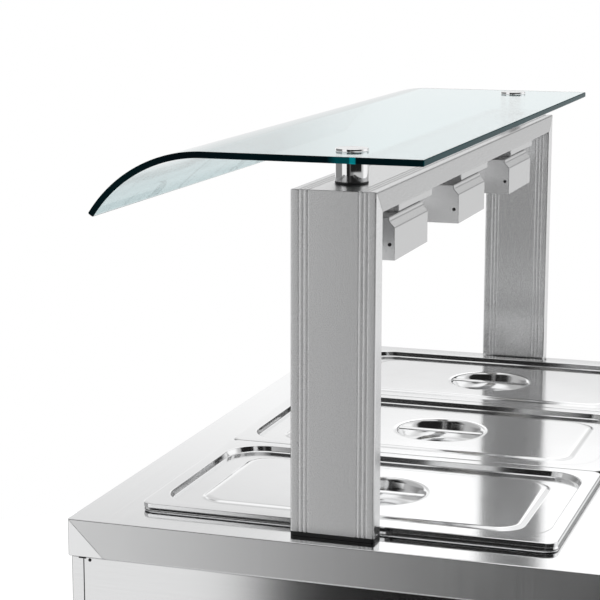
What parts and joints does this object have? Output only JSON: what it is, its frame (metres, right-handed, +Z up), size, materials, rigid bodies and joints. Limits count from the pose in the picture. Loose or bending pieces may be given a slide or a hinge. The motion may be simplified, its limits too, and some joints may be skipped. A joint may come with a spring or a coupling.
{
  "type": "steam table unit",
  "caption": "Floor-standing steam table with a heated well for lidded gastronorm pans, cupboard base, and a gantry with heat lamps under a curved glass canopy.",
  "frame": {"origin": "on the floor under the middle of the counter", "axes": "+X along the row of pans, +Y towards the operator side with doors and controls, -Y towards the customer, +Z up"},
  "size_m": [1.105, 0.67, 1.3423],
  "materials": {
    "brushed_steel": "fine straight grain, satin",
    "polished_steel": "bright drawn stainless steel",
    "element_sheath": "dull bare sheath",
    "anodised_aluminium": "satin natural anodised",
    "black_plastic": "fine moulded texture",
    "red_plastic": "moulded",
    "amber_lens": "translucent lens",
    "brass": "nickel plated casting",
    "tempered_glass": "clear tempered, polished edge, slight green tint",
    "quartz": "quartz tube with ceramic caps"
  },
  "bodies": {
    "cabinet": {"worktop": "brushed_steel", "customer_fascia": "brushed_steel", "well_tank": "brushed_steel", "end_panel_right": "brushed_steel", "end_panel_left": "brushed_steel", "customer_panel": "brushed_steel", "base_pan": "brushed_steel", "operator_frame": "brushed_steel", "control_panel": "brushed_steel", "drain_pipe": "brushed_steel", "post_spigot_1": "brushed_steel", "post_spigot_2": "brushed_steel", "lamp_bracket_1": "brushed_steel", "lamp_bracket_2": "brushed_steel", "lamp_bracket_3": "brushed_steel", "lamp_housing_1": "brushed_steel", "lamp_housing_2": "brushed_steel", "lamp_housing_3": "brushed_steel", "standoff_1": "polished_steel", "standoff_2": "polished_steel", "glass_cap_1": "polished_steel", "glass_cap_2": "polished_steel", "heating_element": "element_sheath", "gantry_post_1": "anodised_aluminium", "gantry_post_2": "anodised_aluminium", "gantry_beam": "anodised_aluminium", "post_gasket_1": "black_plastic", "post_gasket_2": "black_plastic", "cable_gland": "black_plastic", "thermostat_body": "black_plastic", "standoff_washer_1": "black_plastic", "standoff_washer_2": "black_plastic", "pilot_lamp": "amber_lens", "drain_valve_body": "brass", "glass_canopy": "tempered_glass", "quartz_lamp_1": "quartz", "quartz_lamp_2": "quartz", "quartz_lamp_3": "quartz"},
    "pan_1": {"food_pan_1": "polished_steel"},
    "lid_1": {"pan_lid_1": "polished_steel", "lid_handle_1": "polished_steel"},
    "pan_2": {"food_pan_2": "polished_steel"},
    "lid_2": {"pan_lid_2": "polished_steel", "lid_handle_2": "polished_steel"},
    "pan_3": {"food_pan_3": "polished_steel"},
    "lid_3": {"pan_lid_3": "polished_steel", "lid_handle_3": "polished_steel"},
    "door_right": {"door_right": "brushed_steel", "door_handle_right": "polished_steel"},
    "door_left": {"door_left": "brushed_steel", "door_handle_left": "polished_steel"},
    "knob": {"thermostat_knob": "black_plastic"},
    "power_switch": {"power_rocker": "red_plastic"},
    "lamp_switch": {"lamp_rocker": "black_plastic"},
    "drain_handle": {"drain_lever": "red_plastic", "drain_ball": "polished_steel"},
    "levelling_foot_1": {"foot_1": "black_plastic"},
    "levelling_foot_2": {"foot_2": "black_plastic"},
    "levelling_foot_3": {"foot_3": "black_plastic"},
    "levelling_foot_4": {"foot_4": "black_plastic"}
  },
  "joints": [
    {"name": "pan_1_lift", "type": "slide", "parent": "cabinet", "child": "pan_1", "axis": [0, 0, 1], "range_m": [0, 0.16]},
    {"name": "lid_1_lift", "type": "slide", "parent": "pan_1", "child": "lid_1", "axis": [0, 0, 1], "range_m": [0, 0.14]},
    {"name": "pan_2_lift", "type": "slide", "parent": "cabinet", "child": "pan_2", "axis": [0, 0, 1], "range_m": [0, 0.16]},
    {"name": "lid_2_lift", "type": "slide", "parent": "pan_2", "child": "lid_2", "axis": [0, 0, 1], "range_m": [0, 0.14]},
    {"name": "pan_3_lift", "type": "slide", "parent": "cabinet", "child": "pan_3", "axis": [0, 0, 1], "range_m": [0, 0.16]},
    {"name": "lid_3_lift", "type": "slide", "parent": "pan_3", "child": "lid_3", "axis": [0, 0, 1], "range_m": [0, 0.14]},
    {"name": "door_right_swing", "type": "hinge", "parent": "cabinet", "child": "door_right", "pos_m": [0.542, 0.293, 0.429], "axis": [0, 0, -1], "range_deg": [0, 110]},
    {"name": "door_left_swing", "type": "hinge", "parent": "cabinet", "child": "door_left", "pos_m": [-0.542, 0.293, 0.429], "axis": [0, 0, 1], "range_deg": [0, 110]},
    {"name": "thermostat_turn", "type": "hinge", "parent": "cabinet", "child": "knob", "pos_m": [0.42, 0.3, 0.768], "axis": [0, -1, 0], "range_deg": [0, 270]},
    {"name": "power_switch_rock", "type": "hinge", "parent": "cabinet", "child": "power_switch", "pos_m": [0.33, 0.299, 0.768], "axis": [1, 0, 0], "range_deg": [0, 16]},
    {"name": "lamp_switch_rock", "type": "hinge", "parent": "cabinet", "child": "lamp_switch", "pos_m": [0.28, 0.299, 0.768], "axis": [1, 0, 0], "range_deg": [0, 16]},
    {"name": "drain_turn", "type": "hinge", "parent": "cabinet", "child": "drain_handle", "pos_m": [0.38, 0.19, 0.56], "axis": [0, -1, 0], "range_deg": [0, 90]},
    {"name": "foot_1_screw", "type": "slide", "parent": "cabinet", "child": "levelling_foot_1", "axis": [0, 0, -1], "range_m": [0, 0.03]},
    {"name": "foot_2_screw", "type": "slide", "parent": "cabinet", "child": "levelling_foot_2", "axis": [0, 0, -1], "range_m": [0, 0.03]},
    {"name": "foot_3_screw", "type": "slide", "parent": "cabinet", "child": "levelling_foot_3", "axis": [0, 0, -1], "range_m": [0, 0.03]},
    {"name": "foot_4_screw", "type": "slide", "parent": "cabinet", "child": "levelling_foot_4", "axis": [0, 0, -1], "range_m": [0, 0.03]}
  ]
}
